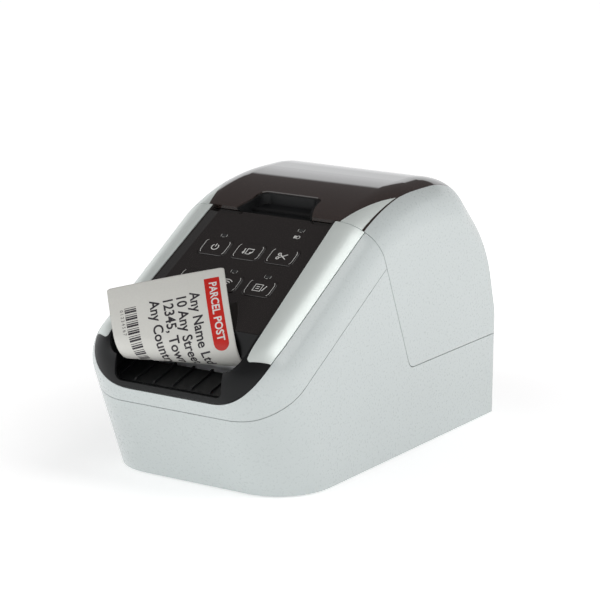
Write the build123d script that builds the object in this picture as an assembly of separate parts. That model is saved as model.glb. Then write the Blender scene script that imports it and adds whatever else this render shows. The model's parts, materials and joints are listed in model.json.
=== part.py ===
from build123d import *
import math
import os
from functools import lru_cache

# A desktop label printer. Millimetres, +Z up, the front faces -Y, and the origin is on the floor at the
# centre of the outline. Y-Z outlines are drawn on Plane.YZ, whose own x is Y and whose own y is Z.

# ---- Driving dimensions -------------------------------------------------------------------------------
WIDTH = 125.3                 # across the case
HEIGHT = 145.0                # floor to the crown of the lid
BACK_Y = 117.0                # rear wall
FLOOR_Z = 1.0                 # underside of the case, which stands on rubber feet
WALL = 2.4                    # moulded case walls
GAP = 0.4                     # seam between two covers

SLOPE = 31.17                 # degrees, lean of the control panel
TOP_Y, TOP_Z = -21.54, 132.13  # upper end of the panel slope, where the lid starts
FRONT_FOOT_Y = -92.48         # front wall, taken down to z = 0
UNDERCUT = 0.426              # front wall, forward travel per millimetre of height
CREST = (39.0, 52.0)          # flat top of the lid, from y to y
CROWN_R = 149.0               # front arc of the lid
REAR_CROWN_R = 77.0
REAR_SHOULDER_R = 35.0
REAR_CROWN_TURN = 16.6        # degrees of the rear crown arc
REAR_LEAN = 16.0              # degrees, rear wall of the lid
FRONT_CORNER_R = 30.0
SHOULDER_R = 22.0
REAR_CORNER_R = 4.0
TOP_BLEND_R = 60.0            # eases the slope into the crown

BELT_DROP = 34.0              # belt seam below the slope on the sides
BELT_Z = 43.7                 # belt seam across the front
HINGE_Y, HINGE_Z = 114.7, 50.0
BARREL_R = 2.3
HINGE_PIN_R = 1.25
EAR_X = (36.0, 44.0)
LID_SEAM_Z = HINGE_Z - BARREL_R
SEAM_KNEE = (-5.9, 107.5)     # where the belt seam meets the lid seam
SEAM_LOW = (17.2, 54.1)
SEAM_SETBACK = 1.6            # lid seam behind the upper end of the slope

OPENING_X = 55.6              # half width of the opening for the rails and the mouth
OPENING_Z = 52.8
OPENING_R = 30.0
RAIL_IN = (39.0, 43.5)        # inner edge of a rail, at its top and at its lower end
RAIL_OUT = 55.15
RAIL_LENGTH = 104.5
RAIL_END_SLANT = 5.5          # how much shorter a rail is along its outer edge
RAIL_END_R = 1.6
RAIL_T = 1.9
RECESS = 3.0                  # depth of the control panel below the slope
PANEL_T = 2.5
PANEL_LENGTH = 84.0
FLANK_T = 1.2

BUTTON = (17.6, 12.6)
BUTTON_PITCH_X = 21.3
BUTTON_ROWS = (27.6, 52.2)    # distance down the slope
BUTTON_TRAVEL = 0.8

MOUTH_FRONT_Y = -115.2
MOUTH_RIM_Z = 57.0
RAMP = ((-115.0, 57.0), (-93.0, 63.0))

WEB_Z = 66.6                  # middle of the label web where it lies flat
WEB_T = 0.3
LABEL_W = 62.0
ROLL_Y, ROLL_Z = 40.0, 62.0
ROLL_R = 37.0
CORE_R = 12.7

PLATEN_Y, PLATEN_Z = -70.0, 74.5
PLATEN_R = 7.5
GEAR_MODULE = 0.8
TEETH = {"platen": 24, "idler": 30, "pinion": 12}
IDLER_ANGLE = -60.0           # degrees, platen centre to idler centre, from +Y towards +Z
GEAR_X = (-50.5, -46.5)
FRAME_X = 43.0                # inner face of the print frame's side plates
FRAME_T = 1.5
HEAD_PIVOT = (-40.0, 58.0)

RACK_MODULE = 0.75
RACK_TEETH = 16
CUT_PINION_X, CUT_PINION_Z = 51.8, 70.5
BLADE_Y = (-87.5, -86.7)

LABEL_Y, LABEL_Z = -94.3, 66.4   # where the printed label leaves the slot
LABEL_SKEW = 18.6             # degrees between the label's width and its curl axis
CURL_R, CURL_TURN = 10.0, 119.1
LOOSE_R = 85.3
FLAT_LENGTH = 0.8
LABEL_LENGTH = 58.9
LABEL_TAIL = 5.0
LABEL_T = 0.25

FAR = 170.0


# ---- Small helpers ------------------------------------------------------------------------------------
def on_ring(centre, radius, degrees):
    """Point of a Y-Z circle, measured from straight up towards the rear."""
    a = math.radians(degrees)
    return (centre[0] + radius * math.sin(a), centre[1] + radius * math.cos(a))


def block(x, y, z):
    """Box between three pairs of limits."""
    size = Box(x[1] - x[0], y[1] - y[0], z[1] - z[0])
    return Pos((x[0] + x[1]) / 2, (y[0] + y[1]) / 2, (z[0] + z[1]) / 2) * size


def rod_x(radius, x, centre):
    """Cylinder along X between two limits, at a Y-Z centre."""
    place = Pos((x[0] + x[1]) / 2, centre[0], centre[1]) * Rot(0, 90, 0)
    return place * Cylinder(radius, x[1] - x[0])


def rod_y(radius, y, centre):
    """Cylinder along Y between two limits, at an X-Z centre."""
    place = Pos(centre[0], (y[0] + y[1]) / 2, centre[1]) * Rot(90, 0, 0)
    return place * Cylinder(radius, y[1] - y[0])


def rod_z(radius, z, centre):
    """Cylinder along Z between two limits, at an X-Y centre."""
    return Pos(centre[0], centre[1], (z[0] + z[1]) / 2) * Cylinder(radius, z[1] - z[0])


def side_slab(face, x):
    """A Y-Z face carried from one X to another."""
    placed = Plane.YZ.offset(x[0]) * face
    return extrude(placed, amount=x[1] - x[0])


def plan_slab(face, z):
    """An X-Y face carried from one Z to another."""
    return extrude(Plane.XY.offset(z[0]) * face, amount=z[1] - z[0])


SLOPE_PLANE = Plane(
    origin=(0, TOP_Y, TOP_Z),
    x_dir=(1, 0, 0),
    z_dir=(0, -math.sin(math.radians(SLOPE)), math.cos(math.radians(SLOPE))),
)


def slope_slab(face, depth):
    """A face drawn on the slope, where own y is minus the distance down it, sunk between two depths."""
    return extrude(SLOPE_PLANE.offset(-depth[0]) * face, amount=depth[0] - depth[1])


def mirrored(shape):
    """The same shape on the other side of the object."""
    return mirror(shape, about=Plane.YZ)


def both_sides(shape):
    return [shape, mirrored(shape)]


# ---- The case envelope --------------------------------------------------------------------------------
def case_outline(bottom, rear_angle, flared):
    """Side outline of the case. Flared, it runs on rearwards past the back wall."""
    rise = math.tan(math.radians(SLOPE))
    nose_z = (TOP_Z + (FRONT_FOOT_Y - TOP_Y) * rise) / (1 + UNDERCUT * rise)
    nose = (FRONT_FOOT_Y - UNDERCUT * nose_z, nose_z)
    foot = (FRONT_FOOT_Y - UNDERCUT * bottom, bottom)
    crown = (CREST[0], HEIGHT - CROWN_R)
    rear_crown = (CREST[1], HEIGHT - REAR_CROWN_R)
    shoulder = on_ring(rear_crown, REAR_CROWN_R - REAR_SHOULDER_R, REAR_CROWN_TURN)
    first = math.degrees(math.asin((TOP_Y - CREST[0]) / CROWN_R))
    start = on_ring(crown, CROWN_R, first)
    turn = on_ring(rear_crown, REAR_CROWN_R, REAR_CROWN_TURN)
    last = on_ring(shoulder, REAR_SHOULDER_R, rear_angle)
    rear_y = BACK_Y + 33.0 if flared else BACK_Y
    back = (rear_y, last[1] - (rear_y - last[0]) * math.tan(math.radians(rear_angle)))
    face = make_face([
        Line(foot, nose),
        Line(nose, start),
        ThreePointArc(start, on_ring(crown, CROWN_R, first / 2), (CREST[0], HEIGHT)),
        Line((CREST[0], HEIGHT), (CREST[1], HEIGHT)),
        ThreePointArc(
            (CREST[1], HEIGHT), on_ring(rear_crown, REAR_CROWN_R, REAR_CROWN_TURN / 2), turn
        ),
        ThreePointArc(
            turn, on_ring(shoulder, REAR_SHOULDER_R, (REAR_CROWN_TURN + rear_angle) / 2), last
        ),
        Line(last, back),
        Line(back, (rear_y, bottom)),
        Line((rear_y, bottom), foot),
    ])
    kink = face.vertices().sort_by_distance(Vertex(*start, 0))[0]
    return fillet(kink, TOP_BLEND_R)


@lru_cache(maxsize=None)
def envelope(inset, bottom=-20.0):
    """The whole case as one solid, all its walls moved inwards by the inset."""
    half = WIDTH / 2 - inset
    flared = Plane.YZ * case_outline(bottom, 45.0, True)
    true = Plane.YZ * case_outline(bottom, 90 - REAR_LEAN, False)
    if inset > 0:
        flared = offset(flared, -inset, kind=Kind.INTERSECTION)
        true = offset(true, -inset, kind=Kind.INTERSECTION)
    blank = extrude(flared, amount=half, both=True)
    corners = [
        e for e in blank.edges()
        if abs(abs(e.center().X) - half) < 1e-3 and e.center().Y < -80 and 5 < e.center().Z < 60
    ]
    blank = fillet(corners, FRONT_CORNER_R - inset)
    loop = []
    for face in blank.faces():
        if face.normal_at(face.center()).Z < 0.3:
            continue
        for edge in face.edges():
            middle = edge.position_at(0.5)
            if abs(middle.X) > 1 or middle.Y < -100:
                loop.append(edge)
    blank = fillet(loop, SHOULDER_R - inset)
    solid = blank & extrude(true, amount=WIDTH, both=True)
    if inset < REAR_CORNER_R - 1:
        rear = [
            e for e in solid.edges().filter_by(Axis.Z)
            if abs(abs(e.center().X) - half) < 1e-3 and e.center().Y > 80
        ]
        solid = fillet(rear, REAR_CORNER_R - inset)
    return solid


def skin(outer, inner):
    """The layer of the case between two insets, open underneath."""
    return envelope(outer, FLOOR_Z if outer == 0 else -20.0) - envelope(inner)


# ---- Seams between the covers -------------------------------------------------------------------------
def seam_top():
    """Where the lid seam meets the top surface, just behind the upper end of the slope."""
    y = TOP_Y + SEAM_SETBACK
    return (y, HEIGHT - CROWN_R + math.sqrt(CROWN_R**2 - (y - CREST[0]) ** 2))


def seam_line():
    """Lid seam from above the panel down to its low corner."""
    run = (SEAM_LOW[0] - SEAM_KNEE[0], SEAM_LOW[1] - SEAM_KNEE[1])
    upper = TangentArc(SEAM_KNEE, seam_top(), tangent=(-run[0], -run[1]))
    out = upper % 1
    above = (seam_top()[0] + 40 * out.X, seam_top()[1] + 40 * out.Y)
    slack = (SEAM_LOW[1] - LID_SEAM_Z) * run[0] / -run[1]
    low = (SEAM_LOW[0] + slack, LID_SEAM_Z)
    return above, upper, low


def lid_region():
    above, upper, low = seam_line()
    end_y = HINGE_Y + BARREL_R
    face = make_face([
        Line(above, seam_top()),
        upper,
        Line(SEAM_KNEE, low),
        Line(low, (HINGE_Y, LID_SEAM_Z)),
        CenterArc((HINGE_Y, HINGE_Z), BARREL_R, -90, 90),
        Line((end_y, HINGE_Z), (FAR, HINGE_Z)),
        Line((FAR, HINGE_Z), (FAR, FAR)),
        Line((FAR, FAR), (above[0], FAR)),
        Line((above[0], FAR), above),
    ])
    corner = face.vertices().sort_by_distance(Vertex(*low, 0))[0]
    return fillet(corner, 6.0)


def belt_corner():
    rise = math.tan(math.radians(SLOPE))
    return (SEAM_KNEE[0] + (BELT_Z - SEAM_KNEE[1]) / rise, BELT_Z)


def front_region():
    above, upper, _ = seam_line()
    turn = belt_corner()
    face = make_face([
        Line(above, seam_top()),
        upper,
        Line(SEAM_KNEE, turn),
        Line(turn, (-FAR, BELT_Z)),
        Line((-FAR, BELT_Z), (-FAR, FAR)),
        Line((-FAR, FAR), (above[0], FAR)),
        Line((above[0], FAR), above),
    ])
    corner = face.vertices().sort_by_distance(Vertex(*turn, 0))[0]
    return offset(fillet(corner, 20.0), -GAP, kind=Kind.INTERSECTION)


def base_region():
    _, _, low = seam_line()
    turn = (belt_corner()[0], BELT_Z + GAP)
    knee = (SEAM_KNEE[0] - 0.45 * GAP, SEAM_KNEE[1] + 1.04 * GAP)
    face = make_face([
        Polyline(
            (-FAR, BELT_Z + GAP), turn, knee, low, (FAR, LID_SEAM_Z), (FAR, -30), (-FAR, -30),
            close=True,
        )
    ])
    corners = face.vertices()
    face = fillet(corners.sort_by_distance(Vertex(*low, 0))[0], 6.0)
    face = fillet(face.vertices().sort_by_distance(Vertex(*turn, 0))[0], 20.0)
    return offset(face, -GAP, kind=Kind.INTERSECTION)


def region_slab(face):
    return side_slab(face, (-WIDTH, WIDTH))


def opening_prism(inset):
    """Front opening of the case, seen from the front, run back along Y to the lid seam."""
    half = OPENING_X - inset
    top = HEIGHT + 20
    middle = (OPENING_Z + inset + top) / 2
    face = Pos(0, middle) * Rectangle(2 * half, top - OPENING_Z - inset)
    low = face.vertices().group_by(Axis.Y)[0]
    face = fillet(low, OPENING_R - inset)
    return extrude(Plane.XZ.offset(-20) * face, amount=160)


def rail_face(grow):
    """The right-hand rail on the slope, grown by a clearance."""
    outline = make_face([
        Polyline(
            (RAIL_IN[0] - grow, 8.0),
            (RAIL_OUT + grow, 8.0),
            (RAIL_OUT + grow, RAIL_END_SLANT - RAIL_LENGTH - grow),
            (RAIL_IN[1] - grow, -RAIL_LENGTH - grow),
            close=True,
        )
    ])
    low_inner_corner = outline.vertices().sort_by(Axis.Y)[0]
    return fillet(low_inner_corner, RAIL_END_R + grow)


def rail_zone(grow):
    return slope_slab(rail_face(grow), (-5, 30))


# ---- Case parts ---------------------------------------------------------------------------------------
SCREWS = [(x, y) for x in (-50.0, 50.0) for y in (-60.0, 85.0)]
FEET = [(x, y) for x in (-44.0, 44.0) for y in (-76.0,)] + [(x, 102.0) for x in (-48.0, 48.0)]
PLATE_T = 2.4
DC_X, USB_X = -38.0, 15.0
SOCKET_Z = 9.6


def base_shell():
    shell = skin(0, WALL) & region_slab(base_region())
    side = WIDTH / 2 - WALL + 0.4
    for x, y in SCREWS:
        post = rod_z(4.0, (FLOOR_Z + PLATE_T, 20.0), (x, y))
        rib_x = (x, side) if x > 0 else (-side, x)
        rib = block(rib_x, (y - 1.2, y + 1.2), (FLOOR_Z + PLATE_T, 20.0))
        shell += post + rib
        shell -= rod_z(1.45, (0, 17.0), (x, y))
    ear = block(EAR_X, (HINGE_Y - BARREL_R + 0.1, BACK_Y), (40.0, HINGE_Z))
    ear += rod_x(BARREL_R, EAR_X, (HINGE_Y, HINGE_Z))
    for one in both_sides(ear):
        shell += one
    shell -= rod_x(HINGE_PIN_R + 0.05, (-60, 60), (HINGE_Y, HINGE_Z))
    shell -= block((DC_X - 5.0, DC_X + 5.0), (110, 120), (SOCKET_Z - 0.4, SOCKET_Z + 11.4))
    shell -= block((USB_X - 6.4, USB_X + 6.4), (110, 120), (SOCKET_Z - 0.4, SOCKET_Z + 11.2))
    return shell


def bottom_plate():
    plate = envelope(WALL + 0.3) & block((-80, 80), (-130, 130), (FLOOR_Z, FLOOR_Z + PLATE_T))
    for x, y in SCREWS:
        plate -= rod_z(3.2, (0, FLOOR_Z + 1.2), (x, y))
        plate -= rod_z(1.6, (0, 6), (x, y))
    for x in (-40.0, 40.0):
        for y in (22.0, 98.0):
            plate += rod_z(3.0, (FLOOR_Z + PLATE_T, 8.0), (x, y))
    for n in range(9):
        y = -40.0 + 7.0 * n
        plate -= block((-25, 25), (y, y + 3.0), (0, 6))
    return plate


def rubber_feet():
    pads = []
    for x, y in FEET:
        pad = rod_z(6.0, (0, FLOOR_Z), (x, y))
        pads.append(chamfer(pad.edges().group_by(Axis.Z)[0], 0.4))
    return pads


def base_screws():
    screws = []
    for x, y in SCREWS:
        head = rod_z(3.0, (FLOOR_Z + 0.2, FLOOR_Z + 1.2), (x, y))
        slot = block((x - 0.5, x + 0.5), (y - 2, y + 2), (0, FLOOR_Z + 0.7))
        slot += block((x - 2, x + 2), (y - 0.5, y + 0.5), (0, FLOOR_Z + 0.7))
        screws.append(head + rod_z(1.4, (FLOOR_Z + 1.2, 14.0), (x, y)) - slot)
    return screws


def front_cover():
    return (skin(0, WALL) & region_slab(front_region())) - opening_prism(0)


def rail(right):
    strip = skin(0, RAIL_T) & rail_zone(0) & region_slab(front_region()) & opening_prism(0.45)
    return strip if right else mirrored(strip)


def recess_face(length):
    """Floor of the panel recess on the slope, between the two flanks."""
    top = RAIL_IN[0] - FLANK_T
    low = RAIL_IN[0] + (RAIL_IN[1] - RAIL_IN[0]) * length / RAIL_LENGTH - FLANK_T
    return make_face([
        Polyline((-top, 9), (top, 9), (top, 0), (low, -length), (-low, -length), (-top, 0), close=True)
    ])


def button_places():
    return [(x, s) for s in BUTTON_ROWS for x in (-BUTTON_PITCH_X, 0.0, BUTTON_PITCH_X)]


LENSES = [(-21.1, 18.0), (21.4, 6.4), (0.0, 43.0), (21.3, 43.3)]
LENS_SIZE = (4.6, 1.8)


def button_face(grow):
    size = (BUTTON[0] + 2 * grow, BUTTON[1] + 2 * grow)
    return RectangleRounded(*size, 2.6 + grow)


def control_panel():
    span = slope_slab(Pos(0, 4 - PANEL_LENGTH / 2) * Rectangle(140, PANEL_LENGTH + 8), (-9, 25))
    panel = skin(0, RECESS + PANEL_T) & opening_prism(0.35) & span & region_slab(front_region())
    for zone in both_sides(rail_zone(0.25)):
        panel -= zone - envelope(RAIL_T + 0.1)
    panel -= slope_slab(recess_face(PANEL_LENGTH + 5), (-5, RECESS))
    panel -= slope_slab(Pos(0, -50) * Rectangle(2 * RAIL_IN[0] + 6, 140), (-5, 0.3))
    for x, s in button_places():
        panel -= slope_slab(Pos(x, -s) * button_face(0.25), (0, 12))
    for x, s in LENSES:
        panel -= slope_slab(Pos(x, -s) * SlotOverall(LENS_SIZE[0] + 0.2, LENS_SIZE[1] + 0.2), (0, 12))
    return panel


def button(x, s):
    top = RECESS - 0.35
    under = RECESS + PANEL_T
    cap = slope_slab(Pos(x, -s) * button_face(0), (top, under + 0.4))
    edges = [e for e in cap.edges() if abs(SLOPE_PLANE.to_local_coords(e.position_at(0.5)).Z + top) < 1e-4]
    cap = fillet(edges, 0.35)
    lip = slope_slab(Pos(x, -s) * button_face(0.9), (under + 0.4, under + 1.2))
    return cap + lip


def indicator_lenses():
    made = []
    for x, s in LENSES:
        made.append(slope_slab(Pos(x, -s) * SlotOverall(*LENS_SIZE), (RECESS - 0.05, 8.6)))
    return made


def keypad_mat():
    """Rubber mat under the buttons, with a dome for each."""
    top = RECESS + PANEL_T + 1.2 + BUTTON_TRAVEL + 0.6
    middle = sum(BUTTON_ROWS) / 2
    mat = slope_slab(Pos(0, -middle) * RectangleRounded(66, 42, 3), (top, top + 0.6))
    for x, s in button_places():
        mat += slope_slab(Pos(x, -s) * Circle(3.2), (top - 0.4, top + 0.1))
    for x, s in LENSES:
        mat -= slope_slab(Pos(x, -s) * SlotOverall(LENS_SIZE[0] + 1, LENS_SIZE[1] + 1), (0, 12))
    return mat


def panel_board():
    top = RECESS + PANEL_T + 1.2 + BUTTON_TRAVEL + 1.2
    board = slope_slab(Pos(0, -36) * Rectangle(72, 66), (top, top + 1.4))
    for x in (-32.0, 32.0):
        board += slope_slab(Pos(x, -66) * Circle(2.2), (RECESS + PANEL_T, top))
    return board


def mouth_plan(grow):
    """Mouth of the printer seen from above, its corners rounded at the front."""
    back = RAIL_IN[0] + (RAIL_IN[1] - RAIL_IN[0]) * 0.8 - FLANK_T + grow
    front = RAIL_IN[1] - FLANK_T + grow
    y = MOUTH_FRONT_Y - grow
    face = make_face([Polyline((-back, -88), (back, -88), (front, y), (-front, y), close=True)])
    return fillet(face.vertices().group_by(Axis.Y)[0], 9.0 + grow)


def mouth_bezel():
    span = slope_slab(Pos(0, -PANEL_LENGTH - 60.15) * Rectangle(140, 119.7), (-20, 70))
    zone = span & block((-70, 70), (-130, -91.8), (40, 130))
    part = envelope(0, FLOOR_Z) & opening_prism(0.35) & zone
    for rails in both_sides(rail_zone(0.25)):
        part -= rails - envelope(RAIL_T + 0.1)
    part -= plan_slab(mouth_plan(0), (40, 130))
    lip = block((-33.3, 33.3), (-130, -108), (MOUTH_RIM_Z, 130))
    part -= fillet(lip.edges().filter_by(Axis.Y).group_by(Axis.Z)[0], 4.0)
    part -= envelope(RAIL_T + 2.4) - plan_slab(mouth_plan(1.8), (30, 130))
    return part


def exit_tray():
    (y0, z0), (y1, z1) = RAMP
    ramp = make_face([Polyline((y0, z0), (y1, z1), (y1, z1 - 2.4), (y0, z0 - 2.4), close=True)])
    tray = side_slab(ramp, (-60, 60)) & plan_slab(mouth_plan(-0.25), (30, 90))
    tray &= envelope(WALL + 0.2)
    rib = make_face([
        Polyline((y0 + 1.6, z0 + 0.3), (y0 + 3.0, z0 + 1.9), (y1, z1 + 1.2), (y1, z1 - 1), (y0 + 1.6, z0 - 1),
                 close=True)
    ])
    for n in range(-3, 4):
        x = 11.6 * n
        tray += side_slab(rib, (x - 0.6, x + 0.6))
    return tray


def exit_hood():
    """Steep black face between the panel and the exit slot."""
    face = make_face([
        Polyline((-92.2, 86.0), (-94.6, 73.6), (-93.0, 72.8), (-91.1, 84.0), close=True)
    ])
    return side_slab(face, (-41.0, 41.0))


# ---- Lid ----------------------------------------------------------------------------------------------
LID_BLACK_X = 52.7


def lid_split(grow):
    """Plan of the black top of the lid, wider at the front."""
    x = LID_BLACK_X + grow
    front = RAIL_OUT - 0.2 + grow
    return make_face([
        Polyline((-front, -60), (-front, -22), (-x, 20), (-x, 140), (x, 140), (x, 20), (front, -22),
                 (front, -60), close=True)
    ])


def notch_plan(grow):
    """Finger notch at the front of the lid, seen from above."""
    wide, narrow = 25.0 + grow, 20.0 + grow
    deep = -1.0 + grow
    side = Spline((wide, -24), (wide - 2.6, -16), (narrow, -7), tangents=((0, 1), (-0.1, 1)))
    turn = ThreePointArc((narrow, -7), (narrow - 1.5, deep - 1.5), (narrow - 5.0, deep))
    left = [mirror(edge, about=Plane.YZ) for edge in (side, turn)]
    return make_face([
        side, turn, *left,
        Line((narrow - 5.0, deep), (5.0 - narrow, deep)),
        Polyline((wide, -24), (wide, -60), (-wide, -60), (-wide, -24)),
    ])


def trim_plan(grow):
    """Silver tongue that carries the right-hand rail on over the lid."""
    edge = RAIL_OUT - 0.9
    return make_face([
        ThreePointArc((RAIL_IN[0] - grow, -30), (46.6, -3), (52.4, 19 + grow)),
        Line((52.4, 19 + grow), (edge + grow, -30)),
        Line((edge + grow, -30), (RAIL_IN[0] - grow, -30)),
    ])


def ear_clearance():
    x = (EAR_X[0] - 0.4, EAR_X[1] + 0.4)
    cut = block(x, (HINGE_Y - 4.5, 130), (40, HINGE_Z)) + rod_x(3.2, x, (HINGE_Y, HINGE_Z))
    return cut + block(x, (HINGE_Y, 130), (40, HINGE_Z + 3.2))


def lid_cover():
    lid = skin(0, WALL) & region_slab(lid_region()) & plan_slab(lid_split(0), (0, 200))
    lid += rod_x(BARREL_R, (-LID_BLACK_X, LID_BLACK_X), (HINGE_Y, HINGE_Z))
    for cut in both_sides(ear_clearance()):
        lid -= cut
    for x in (33.0, -47.0):
        lid -= rod_x(HINGE_PIN_R, (x, x + 14.0), (HINGE_Y, HINGE_Z))
    lid -= plan_slab(notch_plan(0), (100, 160))
    for plan in both_sides(plan_slab(trim_plan(0.15), (60, 200))):
        lid -= plan & (envelope(0, FLOOR_Z) - envelope(0.9))
    return lid


def lid_side(right):
    whole = skin(0, WALL) & region_slab(lid_region())
    side = whole - plan_slab(lid_split(0.2), (0, 200))
    side &= block((0, 80), (-130, 130), (0, 160))
    return side if right else mirrored(side)


def lid_trim(right):
    strip = (envelope(0, FLOOR_Z) - envelope(0.8)) & region_slab(lid_region())
    strip &= plan_slab(trim_plan(0), (60, 200))
    strip &= plan_slab(lid_split(0), (0, 200))
    return strip if right else mirrored(strip)


def lid_handle():
    lid = region_slab(lid_region())
    cup = (envelope(0.6) - envelope(7.4)) & lid & plan_slab(notch_plan(-0.15), (100, 160))
    cup -= plan_slab(notch_plan(-1.6), (100, 160)) - envelope(6.0)
    for y in (-17.5, -10.5):
        bar = (envelope(4.6) - envelope(6.4)) & lid & plan_slab(notch_plan(-0.5), (100, 160))
        cup += bar & block((-30, 30), (y - 0.9, y + 0.9), (90, 150))
    return cup


def lid_frame():
    """Inner frame of the lid: two arches and two cross bands."""
    layer = (envelope(WALL + 0.2) - envelope(WALL + 2.4)) & region_slab(lid_region())
    layer -= Pos(0, -0.8, 0) * region_slab(front_region())
    layer &= block((-52, 52), (-130, 130), (55, 200))
    keep = block((44, 52), (-130, 130), (55, 200)) + block((-52, -44), (-130, 130), (55, 200))
    for y in (18.0, 78.0):
        keep += block((-50, 50), (y, y + 9.0), (80, 200))
    return layer & keep


def hinge_pins():
    return [rod_x(HINGE_PIN_R, (x, x + 14.0), (HINGE_Y, HINGE_Z)) for x in (33.0, -47.0)]


# ---- Roll bay -----------------------------------------------------------------------------------------
BAY_R = 40.5
BAY_X = 54.0
BRACKET_X = (33.3, 36.0)


def roll_bay():
    centre = (ROLL_Y, ROLL_Z)
    bay = rod_x(BAY_R + 2.0, (-BAY_X, BAY_X), centre) - rod_x(BAY_R, (2 - BAY_X, BAY_X - 2), centre)
    bay &= block((-60, 60), (-10, 100), (0, LID_SEAM_Z - 1.5))
    for leg in both_sides(block((48, 50), (24, 56), (FLOOR_Z + PLATE_T, 30))):
        bay += leg - rod_x(BAY_R + 1.0, (-60, 60), centre)
    return bay


def roll_bracket(right):
    centre = (ROLL_Y, ROLL_Z)
    plate = block(BRACKET_X, (ROLL_Y - 16, ROLL_Y + 16), (20, ROLL_Z + 5))
    plate += block((BRACKET_X[1] - 1, BRACKET_X[1] + 8), (ROLL_Y - 16, ROLL_Y + 16), (20, 26.5))
    plate &= rod_x(BAY_R, (0, 60), centre)
    plate -= rod_x(3.1, (0, 60), centre)
    plate -= block((0, 60), (ROLL_Y - 3.1, ROLL_Y + 3.1), (ROLL_Z, ROLL_Z + 20))
    return plate if right else mirrored(plate)


def spool(right):
    centre = (ROLL_Y, ROLL_Z)
    half = LABEL_W / 2
    part = rod_x(28.0, (half + 0.2, half + 1.8), centre)
    part += rod_x(CORE_R - 1.75, (half - 11, half + 0.2), centre)
    part += rod_x(3.0, (half + 1.8, 37.0), centre)
    for n in range(6):
        a = 60.0 * n
        hole = on_ring(centre, 19.0, a)
        part -= rod_x(4.5, (half, half + 3), hole)
    return part if right else mirrored(part)


def roll_core():
    centre = (ROLL_Y, ROLL_Z)
    x = (-LABEL_W / 2, LABEL_W / 2)
    return rod_x(CORE_R, x, centre) - rod_x(CORE_R - 1.7, x, centre)


def label_roll():
    centre = (ROLL_Y, ROLL_Z)
    x = (-LABEL_W / 2, LABEL_W / 2)
    return rod_x(ROLL_R, x, centre) - rod_x(CORE_R, x, centre)


def label_web():
    """Backing strip from the roll to the cutter, tangent to the roll."""
    bend = (-58.0, WEB_Z)
    reach = ROLL_R + 0.4 + WEB_T / 2
    away = (ROLL_Y - bend[0], ROLL_Z - bend[1])
    distance = math.hypot(*away)
    lift = math.atan2(away[1], away[0]) + math.asin(reach / distance)
    run = math.sqrt(distance**2 - reach**2)
    touch = (bend[0] + run * math.cos(lift), bend[1] + run * math.sin(lift))
    path = FilletPolyline((-86.2, WEB_Z), bend, touch, radius=30.0)
    return side_slab(trace(path, WEB_T), (-LABEL_W / 2, LABEL_W / 2))


def label_point(u, w):
    """Point of the printed label: u across it, w along it from the slot."""
    skew = math.radians(LABEL_SKEW)
    across = u * math.cos(skew) - w * math.sin(skew)
    along = u * math.sin(skew) + w * math.cos(skew)
    bent = max(along - FLAT_LENGTH, 0.0)
    turn = math.radians(CURL_TURN)
    tight = min(bent / CURL_R, turn)
    flat = min(along, FLAT_LENGTH) + CURL_R * math.sin(tight)
    lift = CURL_R * (1 - math.cos(tight))
    loose = max(bent - CURL_R * turn, 0.0) / LOOSE_R
    flat += LOOSE_R * (math.sin(turn + loose) - math.sin(turn))
    lift += LOOSE_R * (math.cos(turn) - math.cos(turn + loose))
    x = across * math.cos(skew) + flat * math.sin(skew)
    y = across * math.sin(skew) - flat * math.cos(skew)
    return (x, LABEL_Y + y, LABEL_Z + lift)


def printed_label():
    grid = []
    for i in range(9):
        u = LABEL_W * (i / 8 - 0.5)
        row = []
        for j in range(45):
            w = -LABEL_TAIL + (LABEL_LENGTH + LABEL_TAIL) * j / 44
            row.append(label_point(u, w))
        grid.append(row)
    face = Face.make_surface_from_array_of_points(grid)
    return Solid.thicken(face, LABEL_T)


# ---- Print unit ---------------------------------------------------------------------------------------
def gear_face(teeth, module, phase):
    """Spur gear outline with backlash; phase turns it in degrees, anticlockwise in its own plane."""
    pitch_r = teeth * module / 2
    root_r = pitch_r - 1.15 * module
    tip_r = pitch_r + 0.85 * module
    step = 2 * math.pi / teeth
    half = step / 4 * 0.88
    flank = ((root_r, 1.42 * half), (pitch_r, half), (tip_r, 0.5 * half))
    points = []
    for n in range(teeth):
        middle = math.radians(phase) + n * step
        for radius, spread in flank:
            points.append((radius * math.cos(middle - spread), radius * math.sin(middle - spread)))
        for radius, spread in reversed(flank):
            points.append((radius * math.cos(middle + spread), radius * math.sin(middle + spread)))
    return make_face([Polyline(*points, close=True)])


def gear_x(teeth, phase, centre, x, module=GEAR_MODULE):
    """Gear whose axis lies along X; its phase is measured from +Y towards +Z."""
    face = Pos(*centre) * gear_face(teeth, module, phase)
    return side_slab(face, x)


def gear_centre(start, degrees, distance):
    a = math.radians(degrees)
    return (start[0] + distance * math.cos(a), start[1] + distance * math.sin(a))


PLATEN = (PLATEN_Y, PLATEN_Z)
IDLER = gear_centre(PLATEN, IDLER_ANGLE, GEAR_MODULE * (TEETH["platen"] + TEETH["idler"]) / 2)
PINION = gear_centre(IDLER, -90.0, GEAR_MODULE * (TEETH["idler"] + TEETH["pinion"]) / 2)
MOTOR_R = 12.5


def space_at(teeth, degrees):
    """Phase that puts a tooth space at this angle."""
    return degrees + 180.0 / teeth


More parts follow.
